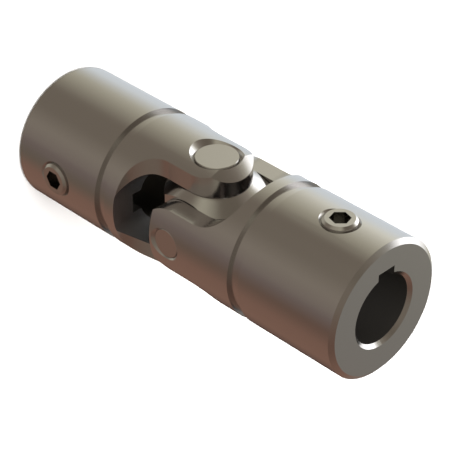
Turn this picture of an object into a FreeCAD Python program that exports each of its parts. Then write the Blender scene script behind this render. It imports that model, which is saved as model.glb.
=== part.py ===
import FreeCAD, Part
import Sketcher
import math
import os

# Pin and block universal joint. It stands on the end of its lower hub: +Z runs along the joint,
# the origin is on the axis in the lower hub's end face, +X is the small pin's axis and +Y the
# large pin's axis. The lower yoke's set screw faces -X and the upper yoke's faces +Y.

os.makedirs("parts", exist_ok=True)
doc = FreeCAD.newDocument("universal_joint")
ORIGIN = FreeCAD.Vector(0, 0, 0)
AXIS_X = FreeCAD.Vector(1, 0, 0)
AXIS_Y = FreeCAD.Vector(0, 1, 0)
AXIS_Z = FreeCAD.Vector(0, 0, 1)

# Driving dimensions in millimetres, inch sizes throughout.
DIMENSIONS = {
    "yoke_radius": 15.875,
    "joint_centre_height": 47.625,
    "bore_radius": 7.9375,
    "bore_chamfer": 0.8,
    "end_chamfer_radial": 1.1,
    "end_chamfer_axial": 0.8,
    "groove_near_edge": 18.73,
    "groove_width": 3.175,
    "groove_depth": 0.8,
    "throat_depth": 15.875,
    "throat_half_width": 9.525,
    "throat_corner_radius": 6.35,
    "ear_half_width": 7.684,
    "ear_straight_below_pin": 6.668,
    "ear_flare_radius": 9.208,
    "ear_nose_cone": 3.175,
    "keyway_width": 4.763,
    "keyway_top": 10.07,
    "screw_height": 12.7,
    "screw_radius": 3.75,
    "screw_length": 6.35,
    "screw_stands_proud": 0.585,
    "screw_top_chamfer": 0.55,
    "screw_tip_chamfer": 0.9,
    "screw_socket_flats": 3.969,
    "screw_socket_depth": 3.2,
    "screw_countersink": 0.84,
    "large_pin_radius": 4.7625,
    "large_pin_recess": 0.905,
    "large_pin_chamfer": 0.1,
    "large_pin_countersink": 6.35,
    "small_pin_radius": 3.372,
    "small_pin_recess": 0.585,
    "small_pin_chamfer": 0.1,
    "small_pin_countersink": 4.1,
    "pin_running_clearance": 0.05,
    "block_side_gap": 0.159,
    "block_drum_radius": 11.335,
    "block_shoulder_height": 6.668,
    "block_ring_radius": 7.938,
    "block_ring_height": 8.969,
    "block_face_radius": 7.303,
    "cutting_margin": 1.0,
}

sheet = doc.addObject("Spreadsheet::Sheet", "Sizes")
for row, (alias, number) in enumerate(DIMENSIONS.items(), start=1):
    sheet.set(f"A{row}", alias)
    sheet.set(f"B{row}", str(number))
    sheet.setAlias(f"B{row}", alias)
doc.recompute()


class Size:
    """A length that carries its number and the expression that gives it."""

    def __init__(self, value, text):
        self.value = value
        self.text = text

    def __add__(self, other):
        return Size(self.value + other.value, f"({self.text} + {other.text})")

    def __sub__(self, other):
        return Size(self.value - other.value, f"({self.text} - {other.text})")

    def __mul__(self, factor):
        return Size(self.value * factor, f"({self.text} * {factor})")

    def __neg__(self):
        return self * -1


ZERO = Size(0.0, "0")


def size(alias):
    return Size(float(sheet.get(alias)), f"Sizes.{alias}")


def new_body(name):
    body = doc.addObject("PartDesign::Body", name)
    body.Label = name
    return body


def new_sketch(body, role, name, raised=ZERO):
    """A sketch on one of the body's own origin planes, with its origin raised along its own v."""
    plane = next(feature for feature in body.Origin.OriginFeatures if feature.Role == role)
    sketch = body.newObject("Sketcher::SketchObject", name)
    sketch.AttachmentSupport = [(plane, "")]
    sketch.MapMode = "FlatFace"
    if raised is not ZERO:
        sketch.setExpression(".AttachmentOffset.Base.y", raised.text)
    doc.recompute()
    return sketch


def bind_constraint(sketch, constraint, text):
    index = sketch.addConstraint(constraint)
    sketch.setExpression(f"Constraints[{index}]", text)


def pin_coordinate(sketch, geometry, end, kind, place):
    """Ties one coordinate of a point, DistanceX or DistanceY, to its size."""
    if abs(place.value) < 1e-9:
        axis = -2 if kind == "DistanceX" else -1
        sketch.addConstraint(Sketcher.Constraint("PointOnObject", geometry, end, axis))
    elif place.value > 0:
        constraint = Sketcher.Constraint(kind, -1, 1, geometry, end, place.value)
        bind_constraint(sketch, constraint, place.text)
    else:
        constraint = Sketcher.Constraint(kind, geometry, end, -1, 1, -place.value)
        bind_constraint(sketch, constraint, (-place).text)


def pin_point(sketch, geometry, end, point):
    pin_coordinate(sketch, geometry, end, "DistanceX", point[0])
    pin_coordinate(sketch, geometry, end, "DistanceY", point[1])


def draw_outline(sketch, corners, arcs=None):
    """A closed outline through the corners. arcs gives, for a side's number, its centre, radius
    and turn: +1 where the side runs anticlockwise and -1 where it runs clockwise."""
    arcs = arcs or {}
    ends = []
    centre_ties = []
    for side, start in enumerate(corners):
        finish = corners[(side + 1) % len(corners)]
        first = FreeCAD.Vector(start[0].value, start[1].value, 0)
        last = FreeCAD.Vector(finish[0].value, finish[1].value, 0)
        if side in arcs:
            centre, radius, turn = arcs[side]
            middle = FreeCAD.Vector(centre[0].value, centre[1].value, 0)
            low, high = (first, last) if turn > 0 else (last, first)
            low_angle = math.atan2(low.y - middle.y, low.x - middle.x)
            high_angle = math.atan2(high.y - middle.y, high.x - middle.x)
            if high_angle <= low_angle:
                high_angle += 2 * math.pi
            circle = Part.Circle(middle, AXIS_Z, radius.value)
            number = sketch.addGeometry(Part.ArcOfCircle(circle, low_angle, high_angle), False)
            ends.append((number, 1, 2) if turn > 0 else (number, 2, 1))
            flat = abs(last.x - first.x) > abs(last.y - first.y)
            free_side = ("DistanceY", centre[1]) if flat else ("DistanceX", centre[0])
            centre_ties.append((number, *free_side))
        else:
            number = sketch.addGeometry(Part.LineSegment(first, last), False)
            ends.append((number, 1, 2))
    for side, (number, start_end, finish_end) in enumerate(ends):
        following = ends[(side + 1) % len(ends)]
        sketch.addConstraint(
            Sketcher.Constraint("Coincident", number, finish_end, following[0], following[1]))
        pin_point(sketch, number, start_end, corners[side])
    for number, kind, place in centre_ties:
        pin_coordinate(sketch, number, 3, kind, place)
    if sketch.solve() != 0:
        raise RuntimeError(f"{sketch.Name} does not solve")


def draw_circle(sketch, centre, radius):
    place = FreeCAD.Vector(centre[0].value, centre[1].value, 0)
    number = sketch.addGeometry(Part.Circle(place, AXIS_Z, radius.value), False)
    bind_constraint(sketch, Sketcher.Constraint("Radius", number, radius.value), radius.text)
    pin_point(sketch, number, 3, centre)


def volume_of(body):
    doc.recompute()
    return body.Shape.Volume


def turn_solid(body, name, sketch, axis):
    feature = body.newObject("PartDesign::Revolution", name)
    feature.Profile = sketch
    feature.ReferenceAxis = (sketch, [axis])
    feature.Angle = 360
    sketch.Visibility = False
    doc.recompute()


def turn_cut(body, name, sketch, axis):
    before = volume_of(body)
    feature = body.newObject("PartDesign::Groove", name)
    feature.Profile = sketch
    feature.ReferenceAxis = (sketch, [axis])
    feature.Angle = 360
    if volume_of(body) >= before:
        raise RuntimeError(f"{name} removes nothing")


def cut_through(body, name, sketch):
    """Cuts the sketch's outline right through the body, both ways from the sketch."""
    before = volume_of(body)
    feature = body.newObject("PartDesign::Pocket", name)
    feature.Profile = sketch
    feature.SideType = "Symmetric"
    feature.Type = "ThroughAll"
    if volume_of(body) >= before:
        raise RuntimeError(f"{name} removes nothing")


def make_yoke(name, pin_radius, countersink_radius):
    """One yoke, standing on its hub, with its ears at +Y and -Y and its set screw hole at -X.
    countersink_radius is the pin hole's countersink, measured at the height of the ears' crest."""
    body = new_body(name)
    radius = size("yoke_radius")
    centre = size("joint_centre_height")
    bore = size("bore_radius")
    bore_chamfer = size("bore_chamfer")
    ear = size("ear_half_width")
    margin = size("cutting_margin")
    nose = size("ear_nose_cone")
    groove_top = centre - size("groove_near_edge")
    groove_bottom = groove_top - size("groove_width")
    groove_floor = radius - size("groove_depth")
    blank_top = centre + ear + margin
    nose_start = centre + ear - nose

    # Turned blank: hub, chamfered ends, bore, groove and the cone that the ears' noses end in.
    sketch = new_sketch(body, "XZ_Plane", f"{name}_section")
    draw_outline(sketch, [
        (bore + bore_chamfer, ZERO),
        (radius - size("end_chamfer_radial"), ZERO),
        (radius, size("end_chamfer_axial")),
        (radius, groove_bottom),
        (groove_floor, groove_bottom),
        (groove_floor, groove_top),
        (radius, groove_top),
        (radius, nose_start),
        (radius - nose - margin, blank_top),
        (bore, blank_top),
        (bore, bore_chamfer),
    ])
    turn_solid(body, f"{name}_blank", sketch, "V_Axis")

    # Throat between the ears, milled right across with rounded lower corners.
    half = size("throat_half_width")
    corner = size("throat_corner_radius")
    floor = centre - size("throat_depth")
    top = blank_top + margin
    sketch = new_sketch(body, "YZ_Plane", f"{name}_throat_outline")
    draw_outline(sketch, [
        (-half, top),
        (-half, floor + corner),
        (corner - half, floor),
        (half - corner, floor),
        (half, floor + corner),
        (half, top),
    ], {
        1: ((corner - half, floor + corner), corner, 1),
        3: ((half - corner, floor + corner), corner, 1),
    })
    cut_through(body, f"{name}_throat", sketch)

    # Both sides of the ears: a full round about the pin, straight sides, then a flare outwards.
    flare = size("ear_flare_radius")
    side_end = centre - size("ear_straight_below_pin")
    reach = ear + flare
    sketch = new_sketch(body, "XZ_Plane", f"{name}_ear_outline")
    draw_outline(sketch, [
        (-reach, side_end - flare),
        (-ear, side_end),
        (-ear, centre),
        (ear, centre),
        (ear, side_end),
        (reach, side_end - flare),
        (reach, top),
        (-reach, top),
    ], {
        0: ((-reach, side_end), flare, 1),
        2: ((ZERO, centre), ear, -1),
        4: ((reach, side_end), flare, 1),
    })
    cut_through(body, f"{name}_ears", sketch)

    # Keyway along the bore, on the set screw's side.
    half_key = size("keyway_width") * 0.5
    sketch = new_sketch(body, "XY_Plane", f"{name}_keyway_outline")
    draw_outline(sketch, [
        (-size("keyway_top"), -half_key),
        (-bore * 0.5, -half_key),
        (-bore * 0.5, half_key),
        (-size("keyway_top"), half_key),
    ])
    cut_through(body, f"{name}_keyway", sketch)

    # Pin hole through both ears, with running clearance, and its 45 degree countersinks.
    hole = pin_radius + size("pin_running_clearance")
    sketch = new_sketch(body, "XZ_Plane", f"{name}_pin_outline")
    draw_circle(sketch, (ZERO, centre), hole)
    cut_through(body, f"{name}_pin_hole", sketch)
    seat = radius - countersink_radius + hole
    for side, sign in (("front", 1), ("back", -1)):
        sketch = new_sketch(body, "YZ_Plane", f"{name}_{side}_cone_outline", raised=centre)
        draw_outline(sketch, [
            (seat * sign, ZERO),
            ((radius + margin) * sign, ZERO),
            ((radius + margin) * sign, countersink_radius + margin),
            (seat * sign, hole),
        ])
        turn_cut(body, f"{name}_{side}_countersink", sketch, "H_Axis")

    # Set screw hole over the keyway, countersunk at the hub's outside.
    screw = size("screw_radius")
    screw_cone = size("screw_countersink")
    sketch = new_sketch(body, "XZ_Plane", f"{name}_screw_outline", raised=size("screw_height"))
    draw_outline(sketch, [
        (-bore * 0.5, ZERO),
        (-radius - margin, ZERO),
        (-radius - margin, screw + screw_cone + margin),
        (screw_cone - radius, screw),
        (-bore * 0.5, screw),
    ])
    turn_cut(body, f"{name}_screw_hole", sketch, "H_Axis")
    return body


def make_pin(name, radius, half_length, chamfer):
    """A plain pin along its own Z, centred on its origin, with a chamfer at each end."""
    body = new_body(name)
    sketch = new_sketch(body, "XZ_Plane", f"{name}_section")
    draw_outline(sketch, [
        (ZERO, -half_length),
        (radius - chamfer, -half_length),
        (radius, chamfer - half_length),
        (radius, half_length - chamfer),
        (radius - chamfer, half_length),
        (ZERO, half_length),
    ])
    turn_solid(body, f"{name}_turned", sketch, "V_Axis")
    return body


def make_block():
    """The centre block: a drum turned about the large pin's axis, its own Y, stepped in to a round
    face at each end, with two flats for the small pin's ears and a hole for each pin."""
    body = new_body("centre_block")
    half = size("throat_half_width") - size("block_side_gap")
    drum = size("block_drum_radius")
    shoulder = size("block_shoulder_height")
    ring = size("block_ring_radius")
    ring_height = size("block_ring_height")
    face = size("block_face_radius")
    margin = size("cutting_margin")
    sketch = new_sketch(body, "XY_Plane", "block_section")
    draw_outline(sketch, [
        (ZERO, -half),
        (face, -half),
        (ring, -ring_height),
        (drum, -shoulder),
        (drum, shoulder),
        (ring, ring_height),
        (face, half),
        (ZERO, half),
    ])
    turn_solid(body, "block_drum", sketch, "V_Axis")
    for number, sign in enumerate((1, -1), start=1):
        sketch = new_sketch(body, "XZ_Plane", f"block_flat_outline_{number}")
        draw_outline(sketch, [
            (half * sign, -drum - margin),
            ((drum + margin) * sign, -drum - margin),
            ((drum + margin) * sign, drum + margin),
            (half * sign, drum + margin),
        ])
        cut_through(body, f"block_flat_{number}", sketch)
    sketch = new_sketch(body, "XZ_Plane", "block_large_pin_outline")
    draw_circle(sketch, (ZERO, ZERO), size("large_pin_radius"))
    cut_through(body, "block_large_pin_hole", sketch)
    sketch = new_sketch(body, "YZ_Plane", "block_small_pin_outline")
    draw_circle(sketch, (ZERO, ZERO), size("small_pin_radius"))
    cut_through(body, "block_small_pin_hole", sketch)
    return body


def make_set_screw(name, first_corner_deg):
    """A flat-tipped hexagon socket set screw along its own Z, from its tip up to its socket face.
    first_corner_deg is how far it is screwed round, as the angle of one of the socket's corners."""
    body = new_body(name)
    radius = size("screw_radius")
    length = size("screw_length")
    tip = size("screw_tip_chamfer")
    rim = size("screw_top_chamfer")
    sketch = new_sketch(body, "XZ_Plane", f"{name}_section")
    draw_outline(sketch, [
        (ZERO, ZERO),
        (radius - tip, ZERO),
        (radius, tip),
        (radius, length - rim),
        (radius - rim, length),
        (ZERO, length),
    ])
    turn_solid(body, f"{name}_turned", sketch, "V_Axis")

    # Hexagon socket, sunk from the top face.
    corner = size("screw_socket_flats") * (1 / math.sqrt(3))
    angles = [math.radians(first_corner_deg + 60 * step) for step in range(6)]
    before = volume_of(body)
    sketch = new_sketch(body, "XY_Plane", f"{name}_socket_outline")
    sketch.setExpression(".AttachmentOffset.Base.z", length.text)
    doc.recompute()
    draw_outline(sketch, [(corner * math.cos(angle), corner * math.sin(angle)) for angle in angles])
    socket = body.newObject("PartDesign::Pocket", f"{name}_socket")
    socket.Profile = sketch
    socket.setExpression("Length", size("screw_socket_depth").text)
    if volume_of(body) >= before:
        raise RuntimeError(f"{name} socket removes nothing")
    return body


def place(body, position, rotation):
    """Turns a body and puts its origin at a position given as three sizes."""
    body.Placement = FreeCAD.Placement(ORIGIN, rotation)
    for side, distance in zip("xyz", position):
        body.setExpression(f".Placement.Base.{side}", distance.text)
    return body


centre_height = size("joint_centre_height")
upper_end = centre_height * 2
screw_height = size("screw_height")
screw_tip = size("yoke_radius") + size("screw_stands_proud") - size("screw_length")
upright = FreeCAD.Rotation()
along_y = FreeCAD.Rotation(AXIS_X, -90)
along_x = FreeCAD.Rotation(AXIS_Y, 90)
along_minus_x = FreeCAD.Rotation(AXIS_Y, -90)
joint_centre = (ZERO, ZERO, centre_height)

lower_yoke = make_yoke("lower_yoke", size("large_pin_radius"), size("large_pin_countersink"))
upper_yoke = make_yoke("upper_yoke", size("small_pin_radius"), size("small_pin_countersink"))
half_turn = FreeCAD.Rotation(FreeCAD.Vector(1, -1, 0), 180)
place(upper_yoke, (ZERO, ZERO, upper_end), half_turn)

large_pin = make_pin("large_pin", size("large_pin_radius"),
                     size("yoke_radius") - size("large_pin_recess"), size("large_pin_chamfer"))
cross_hole_sketch = new_sketch(large_pin, "YZ_Plane", "large_pin_cross_outline")
draw_circle(cross_hole_sketch, (ZERO, ZERO), size("small_pin_radius"))
cut_through(large_pin, "large_pin_cross_hole", cross_hole_sketch)
place(large_pin, joint_centre, along_y)

small_pin = make_pin("small_pin", size("small_pin_radius"),
                     size("yoke_radius") - size("small_pin_recess"), size("small_pin_chamfer"))
place(small_pin, joint_centre, along_x)

centre_block = place(make_block(), joint_centre, upright)

lower_set_screw = place(make_set_screw("lower_set_screw", 0),
                        (-screw_tip, ZERO, screw_height), along_minus_x)
upper_set_screw = place(make_set_screw("upper_set_screw", 15),
                        (ZERO, screw_tip, upper_end - screw_height), along_y)

doc.recompute()
for item in doc.Objects:
    if "Invalid" in item.State or "Error" in item.State:
        raise RuntimeError(f"{item.Label} failed to build: {item.State}")

for body in (lower_yoke, upper_yoke, centre_block, large_pin, small_pin,
             lower_set_screw, upper_set_screw):
    shape = body.Shape
    if shape.isNull() or not shape.isValid() or len(shape.Solids) != 1:
        raise RuntimeError(f"{body.Label} is not one valid solid")
    shape.exportStep(os.path.join("parts", f"{body.Label}.step"))
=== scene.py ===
import math

import bpy
from mathutils import Matrix, Vector

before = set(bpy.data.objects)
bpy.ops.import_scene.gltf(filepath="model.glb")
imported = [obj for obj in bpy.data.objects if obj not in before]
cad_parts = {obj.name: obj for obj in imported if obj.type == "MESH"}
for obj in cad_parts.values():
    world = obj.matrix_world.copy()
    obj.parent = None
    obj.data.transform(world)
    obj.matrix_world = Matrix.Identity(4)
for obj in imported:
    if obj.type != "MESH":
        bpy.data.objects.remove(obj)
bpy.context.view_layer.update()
bpy.ops.object.select_all(action="DESELECT")

# The two yokes: forked hubs turned from bright steel bar, then bored, keyed and milled out
# between and round their ears. Outside the steel is bare, with a satin sheen and fine rings from
# the turning tool. Shade is painted into the bores, the keyways and the throats between the ears.
MM = 0.001
STEEL = "#cfcdcc"             # light, barely warm grey
TURNED_ROUGHNESS = 0.2        # soft-edged reflections, as from a fine turning cut
UNEVENNESS = 0.015            # how far roughness strays from place to place
GRAIN_MM = 0.35               # tool marks are finer, but these still show at the camera's distance
GRAIN_PART = 5                # noise strays little from its middle, so it is multiplied up
MOTTLE_MM = 7.0               # finger-wide patches
MOTTLE_PART = 3
FEED_MM = 0.25                # the turning tool's step per turn
MARK_DEPTH_MM = 0.004
THROAT_PAINTED_SHADE = "#9c9ea2"       # painted shade for the throats, slightly blue
# The places with painted shade are also made rougher.
PAINTED_SHADE_ROUGHNESS = 0.45
BORE_PAINTED_SHADE = "#55524e"         # painted shade for the bores and keyways, brown black
BORE_SHADE_METAL = 0.75             # a quarter of the painted bore's light comes from its own colour
BORE_RADIUS_MM = 7.96
KEYWAY_REACH_MM = 10.2
KEYWAY_HALF_WIDTH_MM = 2.4
MOUTH_MM = 0.05               # the painted shade stops short of the hub's end face
THROAT_FLAT_HALF_MM = 3.175   # the flat of the throat's floor, between its round corners
THROAT_CORNER_MM = 6.37       # just past the corner's wall
THROAT_SIDES_MM = 38.1        # above the hub's end, where the corners meet the ears
PAINTED_SHADE_FADE_MM = (38.6, 43.1)    # the painted shade fades out there, up the ears
JOINT_LENGTH_MM = 95.25
# How strongly shade is painted into each yoke's throat.
LOWER_THROAT_PAINTED_SHADE = 1.0
UPPER_THROAT_PAINTED_SHADE = 0.2        # its painted shade is a fifth as strong as the lower throat's


def linear(hex_colour):
    """An sRGB hex colour as linear red, green and blue."""
    parts = [int(hex_colour[place:place + 2], 16) / 255 for place in (1, 3, 5)]
    return [part / 12.92 if part <= 0.04045 else ((part + 0.055) / 1.055) ** 2.4 for part in parts]


def add_node(tree, kind, settings=None, inputs=None):
    """Adds a shader node. settings names its options. inputs gives an input, by name or place,
    a value or the output socket that feeds it."""
    node = tree.nodes.new(kind)
    for name, value in (settings or {}).items():
        setattr(node, name, value)
    for name, value in (inputs or {}).items():
        if isinstance(value, bpy.types.NodeSocket):
            tree.links.new(value, node.inputs[name])
        else:
            node.inputs[name].default_value = value
    return node


def own_place(tree):
    """The X, Y and Z of a place on the piece, as output sockets."""
    place = add_node(tree, "ShaderNodeTexCoord")
    offsets = add_node(tree, "ShaderNodeSeparateXYZ", None, {0: place.outputs["Object"]})
    return offsets.outputs["X"], offsets.outputs["Y"], offsets.outputs["Z"]


def distance(tree, first, second):
    """How far a place lies from an axis, from its two offsets."""
    offset = add_node(tree, "ShaderNodeCombineXYZ", None, {"X": first, "Y": second})
    length = add_node(tree, "ShaderNodeVectorMath", {"operation": "LENGTH"},
                      {0: offset.outputs["Vector"]})
    return length.outputs["Value"]


def within(tree, value, first_mm, last_mm):
    """1 where a socket's value lies between two lengths in millimetres, 0 elsewhere."""
    middle, reach = (first_mm + last_mm) / 2, abs(last_mm - first_mm) / 2
    inside = add_node(tree, "ShaderNodeMath", {"operation": "COMPARE"},
                      {0: value, 1: middle * MM, 2: reach * MM})
    return inside.outputs["Value"]


def excess(tree, value, limit):
    """How far one length is past another, or else 0. Either may be a socket."""
    past = add_node(tree, "ShaderNodeMath", {"operation": "SUBTRACT"}, {0: value, 1: limit})
    rest = add_node(tree, "ShaderNodeMath", {"operation": "MAXIMUM"},
                    {0: past.outputs["Value"], 1: 0.0})
    return rest.outputs["Value"]


def product(tree, *shares):
    """The product of sockets or numbers, the first of them a socket."""
    total, *others = shares
    for share in others:
        both = add_node(tree, "ShaderNodeMath", {"operation": "MULTIPLY"}, {0: total, 1: share})
        total = both.outputs["Value"]
    return total


def steel(name, roughness, colour=STEEL):
    """Bare machined steel. Its roughness strays in a fine grain and a wide mottle, and it has
    the rings of the tool round the joint's axis."""
    material = bpy.data.materials.new(name)
    material.use_nodes = True
    tree = material.node_tree
    place = add_node(tree, "ShaderNodeTexCoord").outputs["Object"]
    x, y, z = own_place(tree)
    mottle = add_node(tree, "ShaderNodeTexNoise", None,
                      {"Vector": place, "Scale": 1 / (MOTTLE_MM * MM), "Detail": 2.0,
                       "Roughness": 0.5})
    grain = add_node(tree, "ShaderNodeTexNoise", None,
                     {"Vector": place, "Scale": 1 / (GRAIN_MM * MM), "Detail": 3.0,
                      "Roughness": 0.6})
    middle = roughness - UNEVENNESS * (MOTTLE_PART + GRAIN_PART) / 2
    mottled = add_node(tree, "ShaderNodeMath", {"operation": "MULTIPLY_ADD"},
                       {0: mottle.outputs["Fac"], 1: UNEVENNESS * MOTTLE_PART, 2: middle})
    rough = add_node(tree, "ShaderNodeMath", {"operation": "MULTIPLY_ADD"},
                     {0: grain.outputs["Fac"], 1: UNEVENNESS * GRAIN_PART,
                      2: mottled.outputs["Value"]})
    feed = add_node(tree, "ShaderNodeCombineXYZ", None, {"X": distance(tree, x, y), "Y": z})
    rings = add_node(tree, "ShaderNodeTexNoise", None,
                     {"Vector": feed.outputs["Vector"], "Scale": 1 / (FEED_MM * MM),
                      "Detail": 1.0})
    marks = add_node(tree, "ShaderNodeBump", None,
                     {"Height": rings.outputs["Fac"], "Strength": 1.0,
                      "Distance": MARK_DEPTH_MM * MM})
    surface = tree.nodes["Principled BSDF"]
    surface.inputs["Base Color"].default_value = (*linear(colour), 1.0)
    surface.inputs["Metallic"].default_value = 1.0
    tree.links.new(rough.outputs["Value"], surface.inputs["Roughness"])
    tree.links.new(marks.outputs["Normal"], surface.inputs["Normal"])
    return material


def tint(tree, share, colour):
    """Turns a steel's colour into another one by share, a socket that runs from 0 to 1."""
    base = tree.nodes["Principled BSDF"].inputs["Base Color"]
    before = base.links[0].from_socket if base.is_linked else tuple(base.default_value)
    both = add_node(tree, "ShaderNodeMix", {"data_type": "RGBA"},
                    {0: share, 6: before, 7: (*linear(colour), 1.0)})
    tree.links.new(both.outputs[2], base)


def paint_yoke_shade(tree, upper, throat_shade):
    """Paints shade into a yoke's bore and keyway, and into its throat as strongly as the last
    argument says. upper says that it is the upside-down yoke, which has its ears across X and its
    keyway towards +Y, and not across Y and towards -X."""
    x, y, height = own_place(tree)
    across, keyward, key_mm = (x, y, KEYWAY_REACH_MM) if upper else (y, x, -KEYWAY_REACH_MM)
    if upper:
        from_end = add_node(tree, "ShaderNodeMath", {"operation": "SUBTRACT"},
                            {0: JOINT_LENGTH_MM * MM, 1: height})
        height = from_end.outputs["Value"]
    in_bore = within(tree, distance(tree, x, y), 0.0, BORE_RADIUS_MM)
    in_keyway = product(tree, within(tree, keyward, 0.0, key_mm),
                        within(tree, across, -KEYWAY_HALF_WIDTH_MM, KEYWAY_HALF_WIDTH_MM))
    either = add_node(tree, "ShaderNodeMath", {"operation": "MAXIMUM"}, {0: in_bore, 1: in_keyway})
    in_hub = product(tree, either.outputs["Value"],
                     within(tree, height, MOUTH_MM, JOINT_LENGTH_MM))
    aside = add_node(tree, "ShaderNodeMath", {"operation": "ABSOLUTE"}, {0: across})
    from_corner = distance(tree, excess(tree, aside.outputs["Value"], THROAT_FLAT_HALF_MM * MM),
                           excess(tree, THROAT_SIDES_MM * MM, height))
    shade_fade = add_node(tree, "ShaderNodeMapRange", {"interpolation_type": "SMOOTHSTEP"},
                    {"Value": height, "From Min": PAINTED_SHADE_FADE_MM[1] * MM,
                     "From Max": PAINTED_SHADE_FADE_MM[0] * MM})
    in_throat = product(tree, shade_fade.outputs["Result"], throat_shade,
                        within(tree, from_corner, 0.0, THROAT_CORNER_MM))
    # Painted shade: the throat and then the bore and keyway are tinted darker, the bore is made
    # partly non-metal, and both are made rougher.
    tint(tree, in_throat, THROAT_PAINTED_SHADE)
    tint(tree, in_hub, BORE_PAINTED_SHADE)
    surface = tree.nodes["Principled BSDF"]
    metal = add_node(tree, "ShaderNodeMath", {"operation": "MULTIPLY_ADD"},
                     {0: in_hub, 1: BORE_SHADE_METAL - 1.0, 2: 1.0})
    tree.links.new(metal.outputs["Value"], surface.inputs["Metallic"])
    shaded = add_node(tree, "ShaderNodeMath", {"operation": "MAXIMUM"}, {0: in_hub, 1: in_throat})
    rough = add_node(tree, "ShaderNodeMix", None,
                     {"Factor": shaded.outputs["Value"],
                      "A": surface.inputs["Roughness"].links[0].from_socket,
                      "B": PAINTED_SHADE_ROUGHNESS})
    tree.links.new(rough.outputs["Result"], surface.inputs["Roughness"])


def dress(node, material):
    """Gives a piece of the frame its finish."""
    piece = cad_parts[node]
    piece.data.materials.clear()
    piece.data.materials.append(material)


for node, upper, throat_shade in (("lower_yoke", False, LOWER_THROAT_PAINTED_SHADE),
                                ("upper_yoke", True, UPPER_THROAT_PAINTED_SHADE)):
    yoke_steel = steel(f"{node} bright turned steel", TURNED_ROUGHNESS)
    paint_yoke_shade(yoke_steel.node_tree, upper, throat_shade)
    dress(node, yoke_steel)

# The centre block that the ears turn against, and the two pins through it. They are turned and
# then ground, so the same steel gives slightly crisper reflections.
GROUND_ROUGHNESS = 0.18
dress("centre_block", steel("ground block steel", GROUND_ROUGHNESS))
for node in ("large_pin", "small_pin"):
    dress(node, steel(f"{node} ground steel", GROUND_ROUGHNESS))

# The two set screws: bright alloy steel with cold formed hexagon sockets. Shade is painted into the
# sockets, so that the eye gets them as dark hexagons. The lower screw faces -X, the upper +Y.
SCREW_STEEL = "#cccac8"
SCREW_ROUGHNESS = 0.17
# painted shade for the sockets
SOCKET_PAINTED_SHADE = "#a09e9a"
SCREW_HEIGHT_MM = 12.7        # from the hub's end
SCREW_TOP_MM = 16.41          # from the joint's axis, just below the screw's top face
SOCKET_REACH_MM = 2.35        # just past the hexagon's corners


def paint_socket_shade(tree, upper):
    """Paints shade into a set screw's socket: it is tinted darker."""
    x, y, z = own_place(tree)
    sideways, outward, top_mm = (x, y, SCREW_TOP_MM) if upper else (y, x, -SCREW_TOP_MM)
    height_mm = JOINT_LENGTH_MM - SCREW_HEIGHT_MM if upper else SCREW_HEIGHT_MM
    rise = add_node(tree, "ShaderNodeMath", {"operation": "SUBTRACT"}, {0: z, 1: height_mm * MM})
    off_axis = distance(tree, sideways, rise.outputs["Value"])
    in_socket = product(tree, within(tree, off_axis, 0.0, SOCKET_REACH_MM),
                        within(tree, outward, 0.0, top_mm))
    tint(tree, in_socket, SOCKET_PAINTED_SHADE)


for node, upper in (("lower_set_screw", False), ("upper_set_screw", True)):
    screw_steel = steel(f"{node} alloy steel", SCREW_ROUGHNESS, SCREW_STEEL)
    paint_socket_shade(screw_steel.node_tree, upper)
    dress(node, screw_steel)

# The pale floor that the joint stands on, and a pale dome round it that glows by itself and casts
# no light. The steel mirrors neither of them: its reflections come from the studio round the joint.
FLOOR_SIZE = 4.0              # metres, as are the dome's radius and the camera's and lamp's sizes
DOME_RADIUS = 2.0
PALE = "#f4f4f4"
bpy.ops.mesh.primitive_plane_add(size=FLOOR_SIZE, location=(0, 0, 0))
floor = bpy.context.object
floor.name = "pale_floor"
bpy.ops.mesh.primitive_uv_sphere_add(segments=48, ring_count=24, radius=DOME_RADIUS,
                                     location=(0, 0, 0))
dome = bpy.context.object
dome.name = "pale_dome"
matt_white = bpy.data.materials.new("matt white paint")
matt_white.use_nodes = True
matt_surface = matt_white.node_tree.nodes["Principled BSDF"]
matt_surface.inputs["Base Color"].default_value = (*linear(PALE), 1.0)
matt_surface.inputs["Roughness"].default_value = 0.9
lit_white = bpy.data.materials.new("lit white cloth")
lit_white.use_nodes = True
lit_surface = lit_white.node_tree.nodes["Principled BSDF"]
lit_surface.inputs["Base Color"].default_value = (0.0, 0.0, 0.0, 1.0)
lit_surface.inputs["Emission Color"].default_value = (*linear(PALE), 1.0)
lit_surface.inputs["Emission Strength"].default_value = 1.0
for stage, paint in ((floor, matt_white), (dome, lit_white)):
    stage.data.materials.append(paint)
    stage.visible_glossy = False
dome.visible_diffuse = False
dome.visible_shadow = False
dome.visible_transmission = False

# The studio round the joint: painted walls, a warm floor cloth, pale cloths and one white soft box
# that whitens the chamfers, each in the colour that bare steel gives it back. They form rings round
# the joint's axis: two beyond the lower hub, one level with the joint and one above it. A place on
# a ring is an angle in degrees from +X, where the small pin's far end is, towards +Y.
STEEL_SHARE = 0.62            # of a light's strength, which comes back from the steel
COLOURS = {
    "soft box": ("#ffffff", 1.5),
    "soft box edge": ("#ffffff", 1.0),
    "warm white cloth": ("#cbc9bc", 1.0),
    "cool white cloth": ("#b4b9be", 1.0),
    "blue white cloth": ("#bec4c8", 1.0),
    "cream cloth": ("#9c9888", 1.0),
    "grey card": ("#7f7c73", 1.0),
    "grey wall": ("#6d6b66", 1.0),
    "light beige wall": ("#756d63", 1.0),
    "beige wall": ("#655d53", 1.0),
    "mauve wall": ("#635854", 1.0),
    "dun wall": ("#5a5349", 1.0),
    "terracotta floor": ("#70564a", 1.0),
    "brown shadow": ("#5b463c", 1.0),
    "black flag": ("#262424", 1.0),
}
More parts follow.
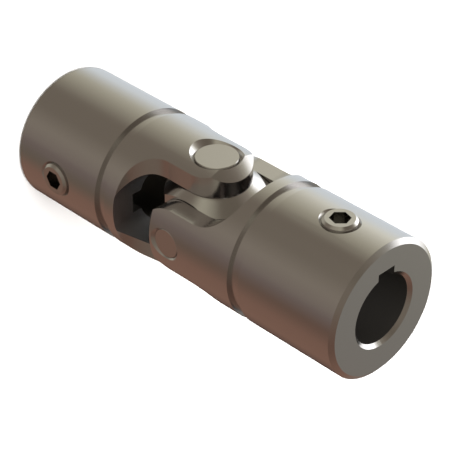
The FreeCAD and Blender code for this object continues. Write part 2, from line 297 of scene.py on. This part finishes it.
FAR_RING = [
    (-175, "mauve wall"),
    (-150, "dun wall"),
    (-125, "terracotta floor"),
    (-92, "terracotta floor"),
    (-50, "black flag"),
    (-38, "cool white cloth"),
    (5, "blue white cloth"),
    (38, "cream cloth"),
    (85, "beige wall"),
    (125, "beige wall"),
    (155, "light beige wall"),
]
LOWER_RING = [
    (-172, "mauve wall"),
    (-152, "brown shadow"),
    (-125, "terracotta floor"),
    (-90, "terracotta floor"),
    (-50, "black flag"),
    (-38, "cool white cloth"),
    (0, "blue white cloth"),
    (24, "warm white cloth"),
    (60, "cream cloth"),
    (90, "beige wall"),
    (125, "beige wall"),
    (155, "light beige wall"),
]
MIDDLE_RING = [
    (-160, "beige wall"),
    (-120, "brown shadow"),
    (-75, "terracotta floor"),
    (-45, "grey wall"),
    (-28, "cream cloth"),
    (-13, "soft box edge"),
    (0, "soft box"),
    (18, "soft box"),
    (32, "cream cloth"),
    (46, "light beige wall"),
    (70, "dun wall"),
    (96, "dun wall"),
    (112, "cream cloth"),
    (145, "light beige wall"),
]
UPPER_RING = [
    (-165, "beige wall"),
    (-115, "brown shadow"),
    (-80, "brown shadow"),
    (-45, "grey wall"),
    (0, "grey card"),
    (25, "grey card"),
    (50, "beige wall"),
    (80, "dun wall"),
    (130, "beige wall"),
]
FLOOR_GLOW = "#928e82"        # the light from straight below
# Where each ring takes over from what is below it, as the Z of a direction of length 1.
FAR_STARTS = (-0.99, -0.75)
LOWER_STARTS = (-0.68, -0.5)
MIDDLE_STARTS = (-0.52, -0.12)
UPPER_STARTS = (0.4, 0.75)
world = bpy.data.worlds.new("studio")
bpy.context.scene.world = world
world.use_nodes = True
sky = world.node_tree
sky.nodes.clear()
aim = add_node(sky, "ShaderNodeTexCoord")
parts = add_node(sky, "ShaderNodeSeparateXYZ", None, {0: aim.outputs["Generated"]})
angle = add_node(sky, "ShaderNodeMath", {"operation": "ARCTAN2"},
                 {0: parts.outputs["Y"], 1: parts.outputs["X"]})
turn = add_node(sky, "ShaderNodeMapRange", None,
                {"Value": angle.outputs["Value"], "From Min": -math.pi, "From Max": math.pi})


def light_ring(places):
    """A colour ramp round the joint's axis through the places, joined up at its two ends."""
    lights = []
    for degrees, name in places:
        colour, strength = COLOURS[name]
        lights.append((degrees, [part * strength for part in linear(colour)]))
    ramp = add_node(sky, "ShaderNodeValToRGB", None, {"Fac": turn.outputs["Result"]})
    stops = ramp.color_ramp.elements
    seam = [(first + last) / 2 for first, last in zip(lights[0][1], lights[-1][1])]
    stops[0].color = stops[1].color = (*seam, 1.0)
    for degrees, light in lights:
        stops.new((degrees + 180) / 360).color = (*light, 1.0)
    return ramp.outputs["Color"]


def add_above(lower, upper, starts):
    """Goes from one light to another as the direction's Z goes from one of starts to the other."""
    share = add_node(sky, "ShaderNodeMapRange", {"interpolation_type": "SMOOTHSTEP"},
                     {"Value": parts.outputs["Z"], "From Min": starts[0], "From Max": starts[1]})
    both = add_node(sky, "ShaderNodeMix", {"data_type": "RGBA"},
                    {0: share.outputs["Result"], 6: lower, 7: upper})
    return both.outputs[2]


floor_glow = add_node(sky, "ShaderNodeRGB")
floor_glow.outputs[0].default_value = (*linear(FLOOR_GLOW), 1.0)
light = add_above(floor_glow.outputs[0], light_ring(FAR_RING), FAR_STARTS)
light = add_above(light, light_ring(LOWER_RING), LOWER_STARTS)
light = add_above(light, light_ring(MIDDLE_RING), MIDDLE_STARTS)
light = add_above(light, light_ring(UPPER_RING), UPPER_STARTS)
studio = add_node(sky, "ShaderNodeBackground", None, {"Color": light, "Strength": 1 / STEEL_SHARE})
add_node(sky, "ShaderNodeOutputWorld", None, {"Surface": studio.outputs["Background"]})
bpy.context.scene.view_settings.view_transform = "Standard"

# The camera at the photograph's place: it looks along (1, -1, -1), so that the joint lies from the
# upper left to the lower right with its upper hub's end in front.
CAMERA_PLACE_MM = Vector((-231.413, 229.791, 281.416))
CAMERA_ROLL = 0.0012          # radians
camera_data = bpy.data.cameras.new("camera")
camera = bpy.data.objects.new("camera", camera_data)
bpy.context.scene.collection.objects.link(camera)
ahead = Vector((1, -1, -1)).normalized()
right = Vector((1, 0, 1)).normalized()
above = right.cross(ahead)
facing = Matrix((right, above, -ahead)).transposed().to_4x4()
camera.matrix_world = (Matrix.Translation(CAMERA_PLACE_MM * MM) @ facing
                       @ Matrix.Rotation(CAMERA_ROLL, 4, "Z"))
camera_data.sensor_width = 36.0
camera_data.lens = 148.9
camera_data.clip_start = 0.01
camera_data.clip_end = 20.0
bpy.context.scene.camera = camera

# One large soft lamp that whitens the floor. The steel doesn't mirror it.
LAMP_PLACE = Vector((-0.3, 0.5, 1.6))
lamp_data = bpy.data.lights.new("floor_lamp", "AREA")
lamp_data.shape = "DISK"
lamp_data.size = 1.6
lamp_data.energy = 60.0
lamp = bpy.data.objects.new("floor_lamp", lamp_data)
bpy.context.scene.collection.objects.link(lamp)
lamp.location = LAMP_PLACE
lamp.rotation_euler = (-LAMP_PLACE).to_track_quat("-Z", "Y").to_euler()
lamp.visible_glossy = False
